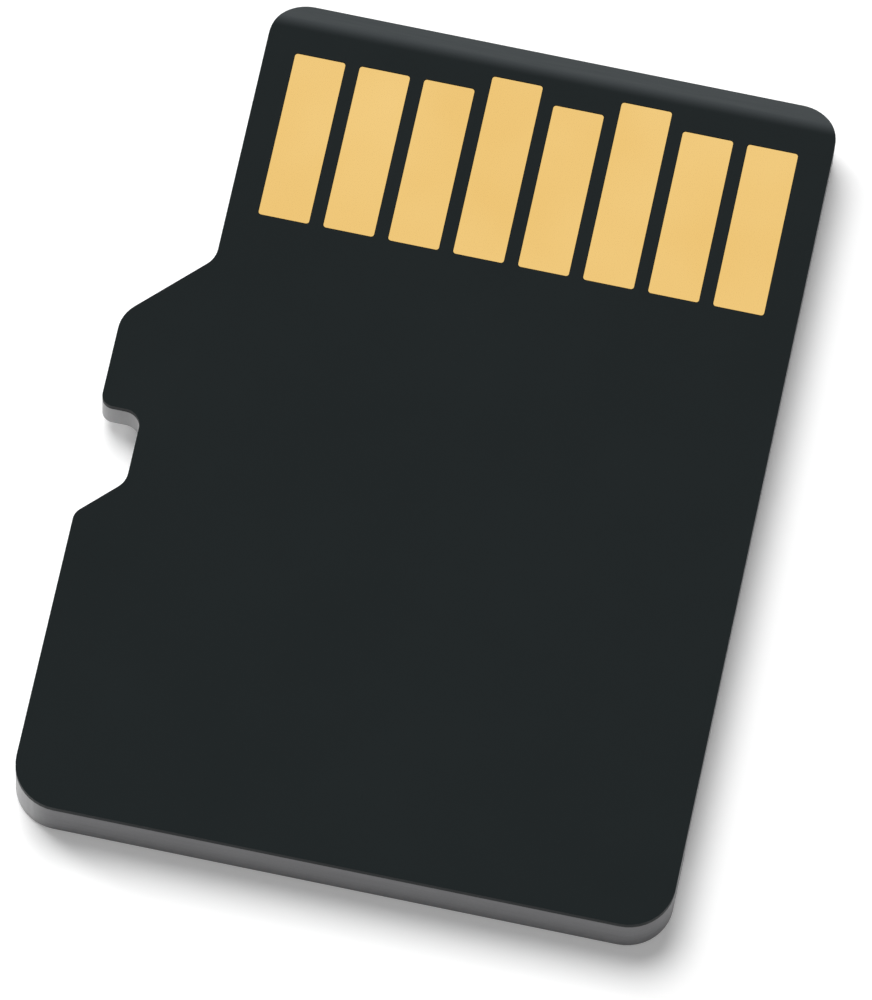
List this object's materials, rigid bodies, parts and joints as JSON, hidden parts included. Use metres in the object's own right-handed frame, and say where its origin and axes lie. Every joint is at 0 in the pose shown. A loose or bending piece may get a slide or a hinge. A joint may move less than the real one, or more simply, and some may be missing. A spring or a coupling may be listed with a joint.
{
  "type": "memory card",
  "caption": "Thin removable flash memory card with a stepped, notched edge, gold contacts on a black board, and a raised finger lip under the rear of its pale moulded cover.",
  "frame": {"origin": "under the middle of the card's outline, level with the underside of the finger lip", "axes": "+X right seen from the contact side with the contacts at the top, +Y towards the contact end that enters the socket first, +Z out of the contact face"},
  "size_m": [0.011, 0.015, 0.001],
  "materials": {
    "cover_resin": "fine satin from the mould",
    "board_laminate": "matt cut laminate",
    "solder_mask": "even satin, printed and cured",
    "contact_gold": "satin gold plating",
    "bond_gold": "bright drawn wire and plated pads",
    "encapsulant_epoxy": "matt mould compound",
    "die_silicon": "polished silicon",
    "attach_film": "pressed adhesive film",
    "passive_ceramic": "fired ceramic with tinned ends",
    "solder": "reflowed tin alloy"
  },
  "bodies": {
    "root": {"housing": "cover_resin", "substrate": "board_laminate", "contact_side_mask": "solder_mask", "contact_1": "contact_gold", "contact_2": "contact_gold", "contact_3": "contact_gold", "contact_4": "contact_gold", "contact_5": "contact_gold", "contact_6": "contact_gold", "contact_7": "contact_gold", "contact_8": "contact_gold", "die_encapsulant": "encapsulant_epoxy", "flash_die_1": "die_silicon", "die_attach_film_1": "attach_film", "flash_die_2": "die_silicon", "die_attach_film_2": "attach_film", "controller_die": "die_silicon", "controller_attach_film": "attach_film", "flash_bond_fingers": "bond_gold", "controller_bond_fingers": "bond_gold", "flash_bond_wires_1": "bond_gold", "flash_bond_wires_2": "bond_gold", "controller_bond_wires_left": "bond_gold", "controller_bond_wires_right": "bond_gold", "capacitor_1": "passive_ceramic", "capacitor_2": "passive_ceramic", "capacitor_3": "passive_ceramic", "capacitor_4": "passive_ceramic", "resistor_1": "passive_ceramic", "resistor_2": "passive_ceramic", "solder_joints": "solder"}
  },
  "joints": []
}
